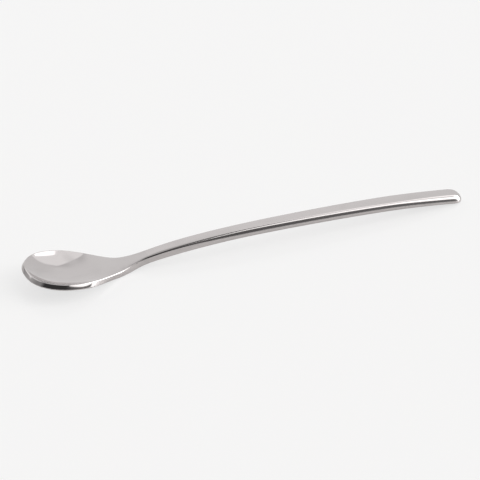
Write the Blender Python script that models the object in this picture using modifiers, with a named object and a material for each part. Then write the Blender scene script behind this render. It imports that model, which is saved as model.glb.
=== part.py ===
# Condiment spoon: a bowl pressed from plate, and a flat bar handle that its neck is brazed into.
# Metres, +Z up. The spoon lies along X with its bowl at -X, at rest on the plane z = 0.
# A station is a distance along X from the bowl's tip.

import math

import bmesh
import bpy
import numpy as np
from mathutils import Vector
from mathutils.geometry import interpolate_bezier

MM = 0.001

# Outline of the top face, seen from above
LENGTH = 184.0 * MM
BOWL_WIDTH = 27.6 * MM           # across the rim's inner edge
BOWL_NOSE = 15.0 * MM            # from the tip to the bowl's widest station
NECK_STATION = 48.9 * MM         # where the bowl's flare ends and the bar begins
NECK_WIDTH = 5.5 * MM
HANDLE_END_WIDTH = 8.6 * MM
HANDLE_END_NOSE = 4.0 * MM       # length of the handle's rounded end
OUTLINE_POWER = 2.25             # 2 makes both ends oval, and more squares them

# Side view: the height of the top face's edge above the table
RIM_HEIGHT = 7.87 * MM
RIM_FALL = 0.055                 # slope of the rim at the bowl's tip
DIP_STATION = 37.3 * MM          # the lowest point, at the root of the bowl, which rests on the table
ARCH_STATION = 95.8 * MM         # the highest point of the handle
ARCH_HEIGHT = 7.865 * MM
END_FALL = 0.15                  # slope of the handle at its end

# How far each end of a side-view curve holds its slope, as a share of that curve's run
RIM_HOLD = 0.55
DIP_HOLD_BEFORE = 0.15
DIP_HOLD_AFTER = 0.12
ARCH_HOLD_BEFORE = 0.79
ARCH_HOLD_AFTER = 0.23
END_HOLD = 0.29

# Thickness
SHEET = 2.15 * MM                # plate at the bowl's rim
BAR_THICKNESS = 3.5 * MM
END_THICKNESS = 3.3 * MM
GAUGE_STATION = 12.0 * MM        # where the plate starts to thicken
BAR_STATION = 72.0 * MM          # where it reaches the bar's thickness
TAPER_STATION = 110.0 * MM       # where the bar starts to thin toward its end

# Hollow of the bowl
BOWL_DEPTH = 3.0 * MM
DISH_POWER = 3.0                 # 2 hollows the bowl evenly, and more flattens its floor
DISH_FADE_STATION = 14.0 * MM    # where the hollow starts to run out
REST_FLAT_DEPTH = 0.1 * MM       # how much is ground off where the bowl rests

# Edges and faces
RIM_RADIUS = 0.4 * MM            # rounding of the edges round the bowl
NECK_RADIUS = 1.0 * MM           # of the handle's top edges at the neck
END_RADIUS = 1.8 * MM            # of the handle's top edges at its end
UNDER_RADIUS = 0.5 * MM          # of the handle's bottom edges
ROUNDING_STATION = 43.0 * MM     # where the bowl's sharp edges start to soften
NECK_ROUND_STATION = 54.0 * MM   # where they reach the neck's rounding
FULL_ROUND_STATION = 135.0 * MM  # where the handle's edges reach their largest rounding
HANDLE_CROWN = 0.12 * MM         # how far the handle's broad face bulges

# Neck joint: a tang on the bowl in a socket in the handle
TANG_LENGTH = 7.0 * MM
TANG_WIDTH = 2.6 * MM
TANG_THICKNESS = 1.3 * MM
JOINT_GAP = 0.3 * MM

# Mesh density
BOWL_LINES = 24
BOWL_COLUMNS = 16
HANDLE_LINES = 36
HANDLE_COLUMNS = 6
EDGE_SEGMENTS = 4
EDGE_MARGIN = 0.25 * MM          # from the end of an edge's rounding to the next row of points
NOSE_SPACING = 0.9               # spreads the outline's points round the corners of the nose
CURVE_SAMPLES = 200
SLOPE_STEP = 0.01 * MM

STEEL_COLOUR = (0.62, 0.60, 0.59, 1.0)
STEEL_ROUGHNESS = 0.12

diagonal = 0.5 ** (1.0 / OUTLINE_POWER)
largest_radius = max(RIM_RADIUS, NECK_RADIUS, END_RADIUS, UNDER_RADIUS)


def smooth_step(start, stop, value):
    share = min(max((value - start) / (stop - start), 0.0), 1.0)
    return share * share * (3.0 - 2.0 * share)


def thickness(station):
    """The plate thickens from the bowl to the bar, which thins again toward its end."""
    grown = smooth_step(GAUGE_STATION, BAR_STATION, station)
    thinned = smooth_step(TAPER_STATION, LENGTH, station)
    return SHEET + (BAR_THICKNESS - SHEET) * grown - (BAR_THICKNESS - END_THICKNESS) * thinned


def top_radius(station):
    """Rounding of the top edges: slight round the bowl, growing along the handle."""
    neck = smooth_step(ROUNDING_STATION, NECK_ROUND_STATION, station)
    end = smooth_step(NECK_ROUND_STATION, FULL_ROUND_STATION, station)
    return RIM_RADIUS + (NECK_RADIUS - RIM_RADIUS) * neck + (END_RADIUS - NECK_RADIUS) * end


def under_radius(station):
    """Rounding of the bottom edges."""
    neck = smooth_step(ROUNDING_STATION, NECK_ROUND_STATION, station)
    return RIM_RADIUS + (UNDER_RADIUS - RIM_RADIUS) * neck


def side_view_curve():
    """Stations and heights along the top edge: rim, dip at the neck, arch, and down to the end."""
    dip_height = thickness(DIP_STATION) - REST_FLAT_DEPTH
    end_height = END_THICKNESS - END_FALL * UNDER_RADIUS
    knots = [
        (0.0, RIM_HEIGHT, -RIM_FALL, RIM_HOLD, RIM_HOLD),
        (DIP_STATION, dip_height, 0.0, DIP_HOLD_BEFORE, DIP_HOLD_AFTER),
        (ARCH_STATION, ARCH_HEIGHT, 0.0, ARCH_HOLD_BEFORE, ARCH_HOLD_AFTER),
        (LENGTH, end_height, -END_FALL, END_HOLD, END_HOLD),
    ]
    points = []
    for before, after in zip(knots, knots[1:]):
        run = after[0] - before[0]
        start = Vector((before[0], before[1], 0.0))
        leave = start + Vector((1.0, before[2], 0.0)) * run * before[4]
        stop = Vector((after[0], after[1], 0.0))
        arrive = stop - Vector((1.0, after[2], 0.0)) * run * after[3]
        points += interpolate_bezier(start, leave, arrive, stop, CURVE_SAMPLES)
    return [p.x for p in points], [p.y for p in points]


edge_stations, edge_heights = side_view_curve()


def top_edge(station):
    return float(np.interp(station, edge_stations, edge_heights))


# The plate's edge is square to the bowl's wall, so below the rim it stands out past the top face.
tip_slope = DISH_POWER * BOWL_DEPTH / BOWL_NOSE
lip = SHEET * math.sin(math.atan(tip_slope))


def half_width_power(station, inset=0.0):
    """Half the top face's width, to the outline's power: nose, flare, straight taper and end.

    With an inset, the same for a line that runs that far inside the outline. Past either end
    of the outline it is negative.
    """
    taper_end = LENGTH - HANDLE_END_NOSE
    gain = (HANDLE_END_WIDTH - NECK_WIDTH) / (taper_end - NECK_STATION)
    bar = (NECK_WIDTH + gain * (min(station, taper_end) - NECK_STATION)) / 2
    if station < BOWL_NOSE:
        back = (BOWL_NOSE - station) / (BOWL_NOSE - lip - inset)
        return (BOWL_WIDTH / 2 - inset) ** OUTLINE_POWER * (1.0 - back ** OUTLINE_POWER)
    if station < NECK_STATION:
        turn = math.pi * (station - BOWL_NOSE) / (NECK_STATION - BOWL_NOSE)
        flare = (BOWL_WIDTH / 2 - bar) * (1.0 + math.cos(turn)) / 2
        return (bar + flare - inset) ** OUTLINE_POWER
    past = max(station - taper_end, 0.0) / (HANDLE_END_NOSE - inset)
    return (bar - inset) ** OUTLINE_POWER * (1.0 - past ** OUTLINE_POWER)


def half_width(station, inset=0.0):
    return max(half_width_power(station, inset), 0.0) ** (1.0 / OUTLINE_POWER)


def hollow(station):
    """1 in the bowl, where the plate is dished, falling to 0 at the neck."""
    return 1.0 - smooth_step(DISH_FADE_STATION, NECK_STATION, station)


def top_height(station, offset):
    """Height of the top face: dished across the bowl, crowned along the handle."""
    inside = half_width_power(station) - abs(offset) ** OUTLINE_POWER
    outer = max(1.0 - inside / (BOWL_WIDTH / 2) ** OUTLINE_POWER, 0.0)
    dish = BOWL_DEPTH * (1.0 - outer ** (DISH_POWER / OUTLINE_POWER))
    crown = HANDLE_CROWN * inside / (HANDLE_END_WIDTH / 2) ** OUTLINE_POWER
    share = hollow(station)
    return top_edge(station) - share * dish + (1.0 - share) * crown


def underside(top):
    """The point of the underside below a point of the top face, square to the bowl's wall."""
    ahead = top_height(top.x + SLOPE_STEP, top.y) - top_height(top.x - SLOPE_STEP, top.y)
    aside = top_height(top.x, top.y + SLOPE_STEP) - top_height(top.x, top.y - SLOPE_STEP)
    share = hollow(top.x) / (2.0 * SLOPE_STEP)
    square = Vector((-ahead * share, -aside * share, 1.0)).normalized()
    return top - square * thickness(top.x)


def link_to(collection_name, thing):
    if collection_name not in bpy.data.collections:
        collection = bpy.data.collections.new(collection_name)
        bpy.context.scene.collection.children.link(collection)
    bpy.data.collections[collection_name].objects.link(thing)


def steel(name):
    material = bpy.data.materials.new(name)
    material.use_nodes = True
    shader = material.node_tree.nodes["Principled BSDF"]
    shader.inputs["Base Color"].default_value = STEEL_COLOUR
    shader.inputs["Metallic"].default_value = 1.0
    shader.inputs["Roughness"].default_value = STEEL_ROUGHNESS
    return material


def top_grid(shape, tip, joint, nose, lines, columns):
    """A grid over the top face of one piece, from its rounded tip to the neck joint.

    One row of points follows the outline and one runs just inside the edge's rounding.
    The lines across it bow round the nose and straighten within twice the nose's length.
    """
    way = math.copysign(1.0, joint - tip)
    centre = tip + way * nose
    row = top_radius(tip) + EDGE_MARGIN
    inner_nose = nose - row
    first_line = nose - inner_nose * diagonal
    pitch = (abs(joint - tip) - first_line) / (lines - 1)

    def plan(line, column):
        """Station and offset of one point of the grid."""
        share = (column - columns / 2) / (columns / 2 - 1.0)
        on_edge = abs(share) > 1.0
        side = math.copysign(1.0, share)
        if line == 0:
            sine = diagonal * (side if on_edge else share * NOSE_SPACING)
            cosine = (1.0 - abs(sine) ** OUTLINE_POWER) ** (1.0 / OUTLINE_POWER)
            return centre - way * nose * cosine, half_width(centre) * sine
        distance = first_line + (line - 1) * pitch
        station = tip + way * distance
        if on_edge:
            return station, side * half_width(station)
        arc = (1.0 - abs(share) ** OUTLINE_POWER / 2) ** (1.0 / OUTLINE_POWER)
        bow = (arc - diagonal) * inner_nose
        bow *= 1.0 - smooth_step(first_line, first_line + 2.0 * nose, distance)
        inset = top_radius(station) + EDGE_MARGIN
        return station - way * bow, share * half_width(station, inset)

    bmesh.ops.create_grid(shape, x_segments=lines, y_segments=columns, size=0.5)
    for vertex in shape.verts:
        line = round((vertex.co.x + 0.5) * lines)
        column = round((vertex.co.y + 0.5) * columns)
        station, offset = plan(line, column)
        vertex.co = Vector((station, offset, top_height(station, offset)))


def plate(name, tip, joint, nose, lines, columns):
    """One piece of the spoon: its top face, its underside, and rounded edges all round."""
    shape = bmesh.new()
    top_grid(shape, tip, joint, nose, lines, columns)
    weight = shape.edges.layers.float.new("bevel_weight_edge")
    grown = bmesh.ops.extrude_face_region(shape, geom=shape.faces[:])["geom"]
    below = {item for item in grown if isinstance(item, bmesh.types.BMVert)}
    for edge in shape.edges:
        under = [vertex in below for vertex in edge.verts]
        side_faces = [f for f in edge.link_faces if 0 < len(below.intersection(f.verts)) < 4]
        middle = (edge.verts[0].co.x + edge.verts[1].co.x) / 2
        on_rim = len(side_faces) == 1 and abs(middle - joint) > SLOPE_STEP
        if on_rim and not any(under):
            edge[weight] = top_radius(middle) / largest_radius
        if on_rim and all(under):
            edge[weight] = under_radius(middle) / largest_radius
    for vertex in below:
        vertex.co = underside(vertex.co)
    bmesh.ops.recalc_face_normals(shape, faces=shape.faces)
    mesh = bpy.data.meshes.new(name)
    shape.to_mesh(mesh)
    shape.free()
    mesh.shade_smooth()

    piece = bpy.data.objects.new(name, mesh)
    piece.location.x = -LENGTH / 2
    rounding = piece.modifiers.new("rounded edges", "BEVEL")
    rounding.width = largest_radius
    rounding.segments = EDGE_SEGMENTS
    rounding.limit_method = "WEIGHT"
    rounding.use_clamp_overlap = False
    piece.data.materials.append(steel(name + "_steel"))
    link_to("condiment_spoon", piece)
    return piece


def cutter(name, size, centre, pitch_angle=0.0):
    """A box for cutting or joining, kept out of the finished spoon."""
    mesh = bpy.data.meshes.new(name)
    shape = bmesh.new()
    bmesh.ops.create_cube(shape, size=1.0)
    bmesh.ops.scale(shape, vec=size, verts=shape.verts)
    shape.to_mesh(mesh)
    shape.free()
    box = bpy.data.objects.new(name, mesh)
    box.location = Vector(centre) - Vector((LENGTH / 2, 0.0, 0.0))
    box.rotation_euler.y = -pitch_angle
    box.hide_render = True
    box.display_type = "WIRE"
    link_to("cutters", box)
    return box


def combine(piece, tool, operation):
    boolean = piece.modifiers.new(tool.name, "BOOLEAN")
    boolean.operation = operation
    boolean.object = tool


def joint_box(name, start, length, width, height):
    """A box along the neck's own slope, from start to start + length beyond the joint."""
    tang_middle = NECK_STATION + TANG_LENGTH / 2
    rise = top_edge(NECK_STATION + TANG_LENGTH) - top_edge(NECK_STATION)
    slope = math.atan2(rise, TANG_LENGTH)
    axis = Vector((math.cos(slope), 0.0, math.sin(slope)))
    level = top_height(tang_middle, 0.0) - thickness(tang_middle) / 2
    foot = Vector((tang_middle, 0.0, level)) - axis * TANG_LENGTH / 2
    centre = foot + axis * (start + length / 2)
    return cutter(name, (length, width, height), centre, slope)


for thing in list(bpy.data.objects):
    bpy.data.objects.remove(thing)

# Bowl: pressed plate with its tang, ground flat where it rests on the table
bowl_joint = NECK_STATION - JOINT_GAP / 2
bowl = plate("bowl", lip, bowl_joint, BOWL_NOSE - lip, BOWL_LINES, BOWL_COLUMNS)
table = cutter(
    "table",
    (2.0 * NECK_STATION, 2.0 * BOWL_WIDTH, BAR_THICKNESS),
    (NECK_STATION / 2, 0.0, -BAR_THICKNESS / 2),
)
tang_root = TANG_LENGTH / 2
tang = joint_box("tang", -tang_root, tang_root + TANG_LENGTH, TANG_WIDTH, TANG_THICKNESS)
combine(bowl, table, "DIFFERENCE")
combine(bowl, tang, "UNION")

# Handle: flat bar with the socket for the tang
handle_joint = NECK_STATION + JOINT_GAP / 2
handle = plate("handle", LENGTH, handle_joint, HANDLE_END_NOSE, HANDLE_LINES, HANDLE_COLUMNS)
socket = joint_box(
    "socket",
    -tang_root,
    tang_root + TANG_LENGTH + JOINT_GAP,
    TANG_WIDTH + 2.0 * JOINT_GAP,
    TANG_THICKNESS + 2.0 * JOINT_GAP,
)
combine(handle, socket, "DIFFERENCE")
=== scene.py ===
import math

import bmesh
import bpy
import numpy as np
from mathutils import Matrix, Vector
from mathutils.geometry import interpolate_bezier


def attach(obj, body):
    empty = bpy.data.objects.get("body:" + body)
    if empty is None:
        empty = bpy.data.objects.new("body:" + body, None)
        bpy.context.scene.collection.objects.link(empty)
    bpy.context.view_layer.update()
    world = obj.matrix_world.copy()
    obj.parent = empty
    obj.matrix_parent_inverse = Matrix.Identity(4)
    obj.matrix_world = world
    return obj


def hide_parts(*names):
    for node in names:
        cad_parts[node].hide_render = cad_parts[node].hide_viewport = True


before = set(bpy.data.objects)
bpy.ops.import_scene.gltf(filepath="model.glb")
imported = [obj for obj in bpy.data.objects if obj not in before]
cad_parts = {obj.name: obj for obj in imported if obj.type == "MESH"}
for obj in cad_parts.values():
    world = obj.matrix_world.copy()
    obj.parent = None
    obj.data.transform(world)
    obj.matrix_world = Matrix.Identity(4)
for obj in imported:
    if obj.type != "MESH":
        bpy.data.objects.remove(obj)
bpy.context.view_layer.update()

MM = 0.001

# Bowl: a shallow oval bowl pressed from stainless plate. The plate thickens toward the neck,
# its edge stands square to the wall, and the whole bowl is buffed to a mirror with its edges
# broken only slightly. Its tang is brazed into the handle at the end of the flare.
LENGTH = 184.0 * MM
BOWL_WIDTH = 27.6 * MM
BOWL_NOSE = 15.0 * MM
NECK_STATION = 48.9 * MM
NECK_WIDTH = 5.5 * MM
OUTLINE_POWER = 2.25             # 2 makes both ends oval, and more squares them
RIM_HEIGHT = 7.87 * MM
RIM_FALL = 0.055
DIP_STATION = 37.3 * MM
SHEET = 2.15 * MM
RIM_RADIUS = 0.4 * MM
BOWL_DEPTH = 3.0 * MM
DISH_POWER = 3.0                 # 2 hollows the bowl evenly, and more flattens its floor
DISH_FADE_STATION = 14.0 * MM
FLAT_STATION = 40.0 * MM
REST_FLAT_DEPTH = 0.1 * MM

# The handle's sizes that the bowl's flare and neck run into
HANDLE_END_WIDTH = 8.6 * MM
HANDLE_END_NOSE = 4.6 * MM
ARCH_STATION = 95.8 * MM
ARCH_HEIGHT = 7.865 * MM
END_FALL = 0.15
BAR_THICKNESS = 3.5 * MM
END_THICKNESS = 3.3 * MM
GAUGE_STATION = 12.0 * MM
BAR_STATION = 72.0 * MM
TAPER_STATION = 110.0 * MM
NECK_RADIUS = 1.0 * MM
END_RADIUS = 1.2 * MM
TIP_RADIUS = 1.9 * MM
UNDER_RADIUS = 0.5 * MM
ROUNDING_STATION = 43.0 * MM
NECK_ROUND_STATION = 54.0 * MM
FULL_ROUND_STATION = 135.0 * MM
TIP_ROUND_STATION = 150.0 * MM
TIP_FULL_STATION = 178.0 * MM
HANDLE_CROWN = 0.12 * MM

RIM_HOLD = 0.55
DIP_HOLD_BEFORE = 0.15
DIP_HOLD_AFTER = 0.12
ARCH_HOLD_BEFORE = 0.79
ARCH_HOLD_AFTER = 0.23
END_HOLD = 0.29

BOWL_LINES = 110
BOWL_COLUMNS = 72
EDGE_MARGIN = 0.25 * MM
EDGE_SEGMENTS = 8
NOSE_SPACING = 0.9
CURVE_SAMPLES = 600
SLOPE_STEP = 0.05 * MM
INSIDE_BOX = (0.9998, 0.9993, 0.9991)    # a hair smaller, so that no edge leaves the solids' box
largest_radius = NECK_RADIUS


def smooth_step(start, stop, value):
    share = min(max((value - start) / (stop - start), 0.0), 1.0)
    return share * share * (3.0 - 2.0 * share)


def thickness(station):
    grown = smooth_step(GAUGE_STATION, BAR_STATION, station)
    thinned = smooth_step(TAPER_STATION, LENGTH, station)
    return SHEET + (BAR_THICKNESS - SHEET) * grown - (BAR_THICKNESS - END_THICKNESS) * thinned


def top_radius(station):
    neck = smooth_step(ROUNDING_STATION, NECK_ROUND_STATION, station)
    end = smooth_step(NECK_ROUND_STATION, FULL_ROUND_STATION, station)
    tip = smooth_step(TIP_ROUND_STATION, TIP_FULL_STATION, station)
    radius = RIM_RADIUS + (NECK_RADIUS - RIM_RADIUS) * neck + (END_RADIUS - NECK_RADIUS) * end
    return radius + (TIP_RADIUS - END_RADIUS) * tip


def under_radius(station):
    neck = smooth_step(ROUNDING_STATION, NECK_ROUND_STATION, station)
    return RIM_RADIUS + (UNDER_RADIUS - RIM_RADIUS) * neck


def side_view_curve():
    """Stations and heights along the top edge: rim, dip at the neck, arch, and down to the end."""
    dip_height = thickness(DIP_STATION) - REST_FLAT_DEPTH
    end_height = END_THICKNESS - END_FALL * UNDER_RADIUS
    knots = [
        (0.0, RIM_HEIGHT, -RIM_FALL, RIM_HOLD, RIM_HOLD),
        (DIP_STATION, dip_height, 0.0, DIP_HOLD_BEFORE, DIP_HOLD_AFTER),
        (ARCH_STATION, ARCH_HEIGHT, 0.0, ARCH_HOLD_BEFORE, ARCH_HOLD_AFTER),
        (LENGTH, end_height, -END_FALL, END_HOLD, END_HOLD),
    ]
    points = []
    for before, after in zip(knots, knots[1:]):
        run = after[0] - before[0]
        start = Vector((before[0], before[1], 0.0))
        leave = start + Vector((1.0, before[2], 0.0)) * run * before[4]
        stop = Vector((after[0], after[1], 0.0))
        arrive = stop - Vector((1.0, after[2], 0.0)) * run * after[3]
        points += interpolate_bezier(start, leave, arrive, stop, CURVE_SAMPLES)
    return np.array([p.x for p in points]), np.array([p.y for p in points])


edge_stations, edge_heights = side_view_curve()


def top_edge(station):
    return float(np.interp(station, edge_stations, edge_heights))


lip = SHEET * math.sin(math.atan(DISH_POWER * BOWL_DEPTH / BOWL_NOSE))


def half_width_power(station, inset=0.0):
    """Half the top face's width, to the outline's power: nose, flare, straight taper and end.

    With an inset, the same for a line that runs that far inside the outline. Past either end
    of the outline it is negative.
    """
    taper_end = LENGTH - HANDLE_END_NOSE
    gain = (HANDLE_END_WIDTH - NECK_WIDTH) / (taper_end - NECK_STATION)
    bar = (NECK_WIDTH + gain * (min(station, taper_end) - NECK_STATION)) / 2
    if station < BOWL_NOSE:
        back = (BOWL_NOSE - station) / (BOWL_NOSE - lip - inset)
        return (BOWL_WIDTH / 2 - inset) ** OUTLINE_POWER * (1.0 - back ** OUTLINE_POWER)
    if station < NECK_STATION:
        turn = math.pi * (station - BOWL_NOSE) / (NECK_STATION - BOWL_NOSE)
        flare = (BOWL_WIDTH / 2 - bar) * (1.0 + math.cos(turn)) / 2
        return (bar + flare - inset) ** OUTLINE_POWER
    past = max(station - taper_end, 0.0) / (HANDLE_END_NOSE - inset)
    return (bar - inset) ** OUTLINE_POWER * (1.0 - past ** OUTLINE_POWER)


def half_width(station, inset=0.0):
    return max(half_width_power(station, inset), 0.0) ** (1.0 / OUTLINE_POWER)


def hollow(station):
    """1 in the bowl, where the plate is dished, falling to 0 along the flare."""
    return 1.0 - smooth_step(DISH_FADE_STATION, FLAT_STATION, station)


def top_height(station, offset):
    """Height of the top face: dished across the bowl, crowned along the handle."""
    inside = half_width_power(station) - abs(offset) ** OUTLINE_POWER
    outer = max(1.0 - inside / (BOWL_WIDTH / 2) ** OUTLINE_POWER, 0.0)
    dish = BOWL_DEPTH * (1.0 - outer ** (DISH_POWER / OUTLINE_POWER))
    crown = HANDLE_CROWN * inside / (HANDLE_END_WIDTH / 2) ** OUTLINE_POWER
    share = hollow(station)
    return top_edge(station) - share * dish + (1.0 - share) * crown


def underside(top):
    """The point of the underside below a point of the top face, square to the bowl's wall."""
    ahead = top_height(top.x + SLOPE_STEP, top.y) - top_height(top.x - SLOPE_STEP, top.y)
    aside = top_height(top.x, top.y + SLOPE_STEP) - top_height(top.x, top.y - SLOPE_STEP)
    share = (1.0 - smooth_step(FLAT_STATION, NECK_STATION, top.x)) / (2.0 * SLOPE_STEP)
    square = Vector((-ahead * share, -aside * share, 1.0)).normalized()
    return top - square * thickness(top.x)


def top_grid(shape, tip, nose, lines, columns, domed):
    """A grid over the top face of one piece, from its rounded tip to the neck.

    It reaches the outline, or on a piece with domed sides the start of their rounding.
    """
    way = math.copysign(1.0, NECK_STATION - tip)
    centre = tip + way * nose
    cut = top_radius(tip) * domed
    diagonal = 0.5 ** (1.0 / OUTLINE_POWER)
    inner_nose = nose - top_radius(tip) - EDGE_MARGIN
    first_line = nose - inner_nose * diagonal
    pitch = (abs(NECK_STATION - tip) - first_line) / (lines - 1)

    def plan(line, column):
        share = (column - columns / 2) / (columns / 2 - 1.0)
        on_edge = abs(share) > 1.0
        side = math.copysign(1.0, share)
        if line == 0:
            sine = diagonal * (side if on_edge else share * NOSE_SPACING)
            cosine = (1.0 - abs(sine) ** OUTLINE_POWER) ** (1.0 / OUTLINE_POWER)
            return centre - way * (nose - cut) * cosine, half_width(centre, cut) * sine
        distance = first_line + (line - 1) * pitch
        station = tip + way * distance
        if on_edge:
            return station, side * half_width(station, top_radius(station) * domed)
        arc = (1.0 - abs(share) ** OUTLINE_POWER / 2) ** (1.0 / OUTLINE_POWER)
        bow = (arc - diagonal) * inner_nose
        bow *= 1.0 - smooth_step(first_line, first_line + 2.0 * nose, distance)
        inset = top_radius(station) + EDGE_MARGIN
        return station - way * bow, share * half_width(station, inset)

    bmesh.ops.create_grid(shape, x_segments=lines, y_segments=columns, size=0.5)
    for vertex in shape.verts:
        line = round((vertex.co.x + 0.5) * lines)
        column = round((vertex.co.y + 0.5) * columns)
        station, offset = plan(line, column)
        vertex.co = Vector((station, offset, top_height(station, offset)))


def plate(name, tip, nose, lines, columns, dome_sides=None):
    """One piece of the spoon: its top face, its underside, and rounded edges all round.

    The top edge is bevelled, unless dome_sides shapes the sides.
    """
    shape = bmesh.new()
    domed = dome_sides is not None
    top_grid(shape, tip, nose, lines, columns, domed)
    weight = shape.edges.layers.float.new("bevel_weight_edge")
    depth = shape.verts.layers.float.new("depth")
    grown = bmesh.ops.extrude_face_region(shape, geom=shape.faces[:])["geom"]
    below = {item for item in grown if isinstance(item, bmesh.types.BMVert)}
    for edge in shape.edges:
        under = [vertex in below for vertex in edge.verts]
        side_faces = [f for f in edge.link_faces if 0 < len(below.intersection(f.verts)) < 4]
        middle = (edge.verts[0].co.x + edge.verts[1].co.x) / 2
        at_joint = abs(middle - NECK_STATION) < SLOPE_STEP / 10
        if len(side_faces) == 1 and at_joint:
            edge.smooth = False
        elif len(side_faces) == 1 and not any(under) and not domed:
            edge[weight] = top_radius(middle) / largest_radius
        elif len(side_faces) == 1 and all(under):
            edge[weight] = under_radius(middle) / largest_radius
        elif len(side_faces) == 2 and at_joint:
            edge.smooth = False
    for vertex in below:
        vertex.co = underside(vertex.co)
        vertex.co.z = max(vertex.co.z, 0.0)
        vertex[depth] = 1.0
    bmesh.ops.recalc_face_normals(shape, faces=shape.faces)
    if domed:
        dome_sides(shape, depth)
    bmesh.ops.translate(shape, vec=(-LENGTH / 2, 0.0, 0.0), verts=shape.verts)
    bmesh.ops.scale(shape, vec=INSIDE_BOX, verts=shape.verts)
    for face in shape.faces:
        face.smooth = True
    mesh = bpy.data.meshes.new(name)
    shape.to_mesh(mesh)
    shape.free()
    piece = bpy.data.objects.new(name, mesh)
    bpy.context.scene.collection.objects.link(piece)
    rounding = piece.modifiers.new("rounded edges", "BEVEL")
    rounding.width = largest_radius
    rounding.segments = EDGE_SEGMENTS
    rounding.limit_method = "WEIGHT"
    rounding.use_clamp_overlap = False
    return piece


class Wire:
    """One output in a node tree. Arithmetic on it adds Math nodes, and node() adds any other."""

    def __init__(self, tree, output=None):
        self.tree = tree
        self.output = output

    def node(self, kind, settings={}, inputs={}, output=0):
        added = self.tree.nodes.new(kind)
        for name, value in settings.items():
            setattr(added, name, value)
        for name, value in inputs.items():
            if isinstance(value, Wire):
                self.tree.links.new(value.output, added.inputs[name])
            else:
                added.inputs[name].default_value = value
        return Wire(self.tree, added.outputs[output])

    def math(self, operation, *values):
        return self.node("ShaderNodeMath", {"operation": operation}, dict(enumerate(values)))

    def __add__(self, other):
        return self.math("ADD", self, other)

    def __sub__(self, other):
        return self.math("SUBTRACT", self, other)

    def __rsub__(self, other):
        return self.math("SUBTRACT", other, self)

    def __mul__(self, other):
        return self.math("MULTIPLY", self, other)

    def __truediv__(self, other):
        return self.math("DIVIDE", self, other)

    def __rtruediv__(self, other):
        return self.math("DIVIDE", other, self)

    __radd__ = __add__
    __rmul__ = __mul__

    def rise(self, start, stop):
        """0 below start and 1 above stop, with a smooth change between."""
        inputs = {"Value": self, "From Min": start, "From Max": stop}
        return self.node("ShaderNodeMapRange", {"interpolation_type": "SMOOTHSTEP"}, inputs)


STEEL = (0.61, 0.578, 0.574)
SMUDGED = 0.93


def polished_steel(name, steel, gloss, line_pitch, line_strength):
    """Buffed stainless: fine lengthwise polishing lines, faint smudges and a few hairlines."""
    material = bpy.data.materials.new(name)
    material.use_nodes = True
    wires = Wire(material.node_tree)
    shader = material.node_tree.nodes["Principled BSDF"]
    shader.inputs["Metallic"].default_value = 1.0
    place = wires.node("ShaderNodeTexCoord", output="Object")

    def noise(stretch, detail, roughness):
        stretched = wires.node(
            "ShaderNodeVectorMath", {"operation": "MULTIPLY"}, {0: place, 1: stretch})
        return wires.node("ShaderNodeTexNoise", {}, {
            "Vector": stretched, "Scale": 1.0, "Detail": detail, "Roughness": roughness})

    across = 1.0 / line_pitch
    lines = noise((across / 90.0, across, across), 3.0, 0.6)
    smudges = noise((90.0, 160.0, 160.0), 4.0, 0.55).rise(0.45, 0.72)
    hairlines = noise((70.0, 2600.0, 2600.0), 1.0, 0.5).rise(0.70, 0.76)
    worn = noise((55.0, 90.0, 90.0), 2.0, 0.5).rise(0.48, 0.62)
    roughness = gloss + 0.05 * smudges + line_strength * lines + 0.06 * hairlines * worn
    colour = wires.node("ShaderNodeMix", {"data_type": "RGBA"}, {
        0: smudges * 0.6 + lines * 0.3,
        6: (*steel, 1.0), 7: (*(SMUDGED * share for share in steel), 1.0)}, output=2)
    bump = wires.node("ShaderNodeBump", {}, {
        "Strength": 0.25, "Distance": 0.002 * MM, "Height": lines - hairlines * worn * 1.5})
    material.node_tree.links.new(roughness.output, shader.inputs["Roughness"])
    material.node_tree.links.new(colour.output, shader.inputs["Base Color"])
    material.node_tree.links.new(bump.output, shader.inputs["Normal"])
    return material


spoon_bowl = plate("spoon_bowl", lip, BOWL_NOSE - lip, BOWL_LINES, BOWL_COLUMNS)
mirror_steel = polished_steel(
    "mirror_steel", STEEL, gloss=0.055, line_pitch=0.35 * MM, line_strength=0.03)
spoon_bowl.data.materials.append(mirror_steel)
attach(spoon_bowl, "root")
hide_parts("bowl")

# Handle: flat stainless bar, drawn narrow at the neck and wider toward its rounded end, and arched
# along its length. Its edges round off more and more from the neck to the end, the foot of its
# sides draws in, and it is buffed a little duller than the bowl, which is brazed into it.
HANDLE_LINES = 240
HANDLE_COLUMNS = 24
SIDE_DROP = 2.0 * MM             # how far down the sides the rounding of the top edge reaches
TIP_DROP = 2.4 * MM
SIDE_POWER = 1.5                 # 2 makes that rounding an ellipse, and less flattens its middle
TIP_POWER = 1.6
UNDERCUT = 0.40 * MM             # how far the foot of the sides draws in again
DOME_STATION = 92.0 * MM
ROUND_ROWS = 10


def top_drop(station):
    """How far down the handle's side the rounding of its top edge reaches."""
    start = top_radius(NECK_STATION)
    grown = smooth_step(NECK_STATION, DOME_STATION, station)
    tip = smooth_step(TIP_ROUND_STATION, TIP_FULL_STATION, station)
    return start + (SIDE_DROP - start) * grown + (TIP_DROP - SIDE_DROP) * tip


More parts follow.
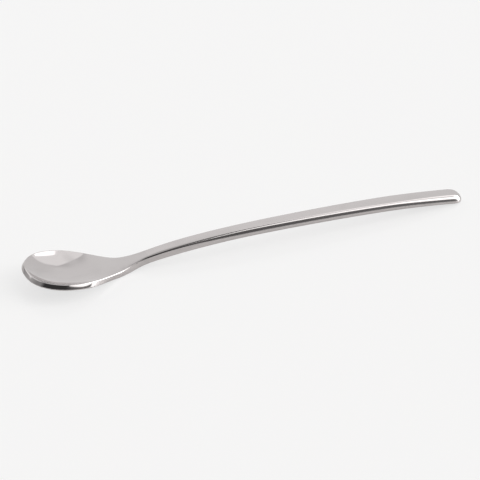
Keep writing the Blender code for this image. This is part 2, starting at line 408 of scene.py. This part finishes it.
def dome_handle_sides(shape, depth):
    """Round the sides with a curve that starts level with the top face and draws in at the foot."""
    sides = []
    for edge in shape.edges:
        inside_joint = all(abs(face.calc_center_median().x - NECK_STATION) < SLOPE_STEP
                           for face in edge.link_faces)
        if edge.verts[0][depth] != edge.verts[1][depth] and not inside_joint:
            sides.append(edge)
    bmesh.ops.subdivide_edges(shape, edges=sides, cuts=ROUND_ROWS)
    shape.normal_update()
    lower = [vertex for vertex in shape.verts if vertex[depth] > 0.0 and any(
        0.0 < edge.other_vert(vertex)[depth] < 1.0 for edge in vertex.link_edges)]
    for vertex in lower:
        station, offset = vertex.co.xy
        outward = Vector((vertex.normal.x, vertex.normal.y, 0.0)).normalized()
        if abs(station - NECK_STATION) < SLOPE_STEP:
            outward = Vector((0.0, math.copysign(1.0, offset), 0.0))
        turn = min(vertex[depth] * (1.0 + 1.0 / ROUND_ROWS), 1.0) * math.pi / 2
        grown = smooth_step(NECK_STATION, DOME_STATION, station)
        tip = smooth_step(TIP_ROUND_STATION, TIP_FULL_STATION, station)
        power = 2.0 / (2.0 + (SIDE_POWER - 2.0) * grown + (TIP_POWER - SIDE_POWER) * tip)
        if vertex[depth] < 1.0:
            fall = top_drop(station) * (1.0 - max(math.cos(turn), 0.0) ** power)
            vertex.co.z = top_height(station, offset) - fall
            vertex.co += outward * top_radius(station) * math.sin(turn) ** power
        else:
            vertex.co += outward * (top_radius(station) - UNDERCUT * grown * (1.0 - tip))
        vertex.co.z += top_edge(vertex.co.x) - top_edge(station)


spoon_handle = plate(
    "spoon_handle", LENGTH, HANDLE_END_NOSE, HANDLE_LINES, HANDLE_COLUMNS, dome_handle_sides)
# A lighter copy of the bowl's steel colour: painted light that brightens the handle's reflections.
PAINTED_LIGHTER_STEEL = (0.64, 0.605, 0.60)
buffed_steel = polished_steel(
    "buffed_steel", PAINTED_LIGHTER_STEEL, gloss=0.08, line_pitch=0.25 * MM, line_strength=0.05)
spoon_handle.data.materials.append(buffed_steel)
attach(spoon_handle, "root")
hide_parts("handle")

# Floor: a plain white table top with a slight gloss. To the camera it shows close to white, in the
# metal a little brighter than it is lit, and it keeps the spoon's shadow.
FLOOR_HALF = 3.0
FLOOR_WHITE = (0.91, 0.895, 0.885, 1.0)
SEEN_WHITE = 0.7
MIRRORED_WHITE = 0.12
shape = bmesh.new()
bmesh.ops.create_grid(shape, x_segments=1, y_segments=1, size=FLOOR_HALF)
floor_mesh = bpy.data.meshes.new("floor")
shape.to_mesh(floor_mesh)
shape.free()
floor = bpy.data.objects.new("floor", floor_mesh)
bpy.context.scene.collection.objects.link(floor)
floor_white = bpy.data.materials.new("floor_white")
floor_white.use_nodes = True
floor_tree = floor_white.node_tree
floor_shader = floor_tree.nodes["Principled BSDF"]
floor_shader.inputs["Base Color"].default_value = FLOOR_WHITE
floor_shader.inputs["Roughness"].default_value = 0.14
floor_shader.inputs["Specular IOR Level"].default_value = 0.4
floor_wires = Wire(floor_tree)
paths = floor_tree.nodes.new("ShaderNodeLightPath").outputs
seen, mirrored, through = (Wire(floor_tree, paths[kind]) for kind in (
    "Is Camera Ray", "Is Glossy Ray", "Is Transmission Ray"))
white = floor_wires.node("ShaderNodeEmission", {}, {
    "Color": (1.0, 1.0, 1.0, 1.0), "Strength": 1.0})
lit = Wire(floor_tree, floor_shader.outputs[0])
shown = floor_wires.node("ShaderNodeMixShader", {}, {
    0: seen * SEEN_WHITE + (mirrored + through) * MIRRORED_WHITE, 1: lit, 2: white})
floor_tree.links.new(shown.output, floor_tree.nodes["Material Output"].inputs["Surface"])
floor_mesh.materials.append(floor_white)

# Camera: the photograph's view, from the front left and about 30 degrees above the table, with a
# long lens that was fitted to the spoon's outline.
VIEW_AZIMUTH = math.radians(-23.69)
VIEW_ELEVATION = math.radians(29.78)
VIEW_DISTANCE = 0.9
VIEW_TARGET = Vector((-0.00427, 0.0, 0.00201))
VIEW_ROLL = math.radians(0.513)
LENS = 174.4
SENSOR = 36.0
camera = bpy.data.objects.new("camera", bpy.data.cameras.new("camera"))
camera.data.lens = LENS
camera.data.sensor_width = SENSOR
toward = Vector((
    math.sin(VIEW_AZIMUTH) * math.cos(VIEW_ELEVATION),
    -math.cos(VIEW_AZIMUTH) * math.cos(VIEW_ELEVATION),
    math.sin(VIEW_ELEVATION),
))
camera.location = VIEW_TARGET + toward * VIEW_DISTANCE
facing = toward.to_track_quat("Z", "Y").to_matrix().to_4x4()
camera.rotation_euler = (facing @ Matrix.Rotation(VIEW_ROLL, 4, "Z")).to_euler()
bpy.context.scene.collection.objects.link(camera)
bpy.context.scene.camera = camera

# Studio: a pale wall behind the spoon, a dimmer panel overhead, a bright diffuser on the right,
# and an unlit room around the camera. Bearings are in degrees round the table, with 0 in front and
# 90 on the right. across and along are places on a ceiling one unit above the spoon.
DEGREES = 180.0 / math.pi
world = bpy.data.worlds.new("studio")
bpy.context.scene.world = world
world.use_nodes = True
room = Wire(world.node_tree)
ray = room.node("ShaderNodeTexCoord", output="Generated")
parts = world.node_tree.nodes.new("ShaderNodeSeparateXYZ")
world.node_tree.links.new(ray.output, parts.inputs[0])
east, north, up = (Wire(world.node_tree, output) for output in parts.outputs)
bearing = room.math("ARCTAN2", east, north * -1.0) * DEGREES
height = room.math("ARCSINE", up) * DEGREES
over = room.math("MAXIMUM", up, 0.02)
across = east / over
along = north / over

# The walls, from the dark room in front round by the left to the pale wall behind
wall = 0.05 + 0.27 * (1.0 - bearing.rise(-84.0, -68.0)) + 0.20 * (1.0 - bearing.rise(-124.0, -96.0))
wall = wall - 0.12 * (1.0 - bearing.rise(-152.0, -138.0)) + 0.13 * bearing.rise(5.0, 32.0)
behind = bearing.rise(70.0, 110.0) + (1.0 - bearing.rise(-176.0, -166.0))
wall = wall + (0.82 + 0.06 * bearing.rise(144.0, 154.0) - wall) * behind
card = (1.0 - bearing.rise(-130.0, -122.0)) * bearing.rise(-178.0, -170.0)
card = card * height.rise(11.0, 19.0) * (1.0 - height.rise(50.0, 60.0))
light = wall + (1.3 - wall) * card

# Overhead: a dim ceiling, a pale square panel turned across the spoon, and a lamp on the left
far_side = along - (across - 0.60) * 0.72
right_side = along + (across - 0.68) * 1.4
shade = far_side.rise(1.03, 1.11) * (1.0 - far_side.rise(1.2, 1.7)) * height.rise(30.0, 42.0)
light = light * (1.0 - 0.18 * shade * across.rise(0.2, 0.4))
ceiling = (1.0 - across.rise(0.18, 0.30)) * across.rise(-0.5, -0.3)
ceiling = ceiling * along.rise(-0.35, 0.0) * (1.0 - along.rise(1.0, 1.3)) * height.rise(20.0, 40.0)
light = light + (0.55 - light) * ceiling
square = (1.0 - far_side.rise(1.05, 1.09)) * (1.0 - right_side.rise(1.08, 1.12))
square = square * across.rise(0.20, 0.36) * along.rise(-0.2, 0.0) * height.rise(20.0, 30.0)
light = light + (1.11 - light) * square
lamp = across.rise(-1.3, -1.2) * (1.0 - across.rise(-0.65, -0.55))
lamp = lamp * along.rise(0.0, 0.2) * (1.0 - along.rise(0.9, 1.0)) * height.rise(20.0, 30.0)
light = light + (1.1 - light) * lamp

# The bright diffuser on the right, low and wide, with a slanting edge toward the front
near_side = along + across * 0.54
diffuser = near_side.rise(-1.14, -0.86) * across.rise(0.42, 0.46)
diffuser = diffuser * (1.0 - (along - across * 0.33).rise(0.02, 0.05))
diffuser = diffuser * (1.0 - across.rise(0.94, 1.02) * along.rise(0.1, 0.25))
lower = (across - along * 0.84).rise(1.22, 1.5)
lower = room.math("MAXIMUM", lower, along.rise(-0.1, 0.02))
brightest = near_side.rise(-0.75, 0.35) * (1.0 - height.rise(38.0, 50.0))
glow = 1.05 + lower * (0.85 + 2.2 * brightest)
light = light + (glow - light) * diffuser
world.node_tree.links.new(light.output, world.node_tree.nodes["Background"].inputs["Color"])
bpy.context.scene.view_settings.view_transform = "Standard"
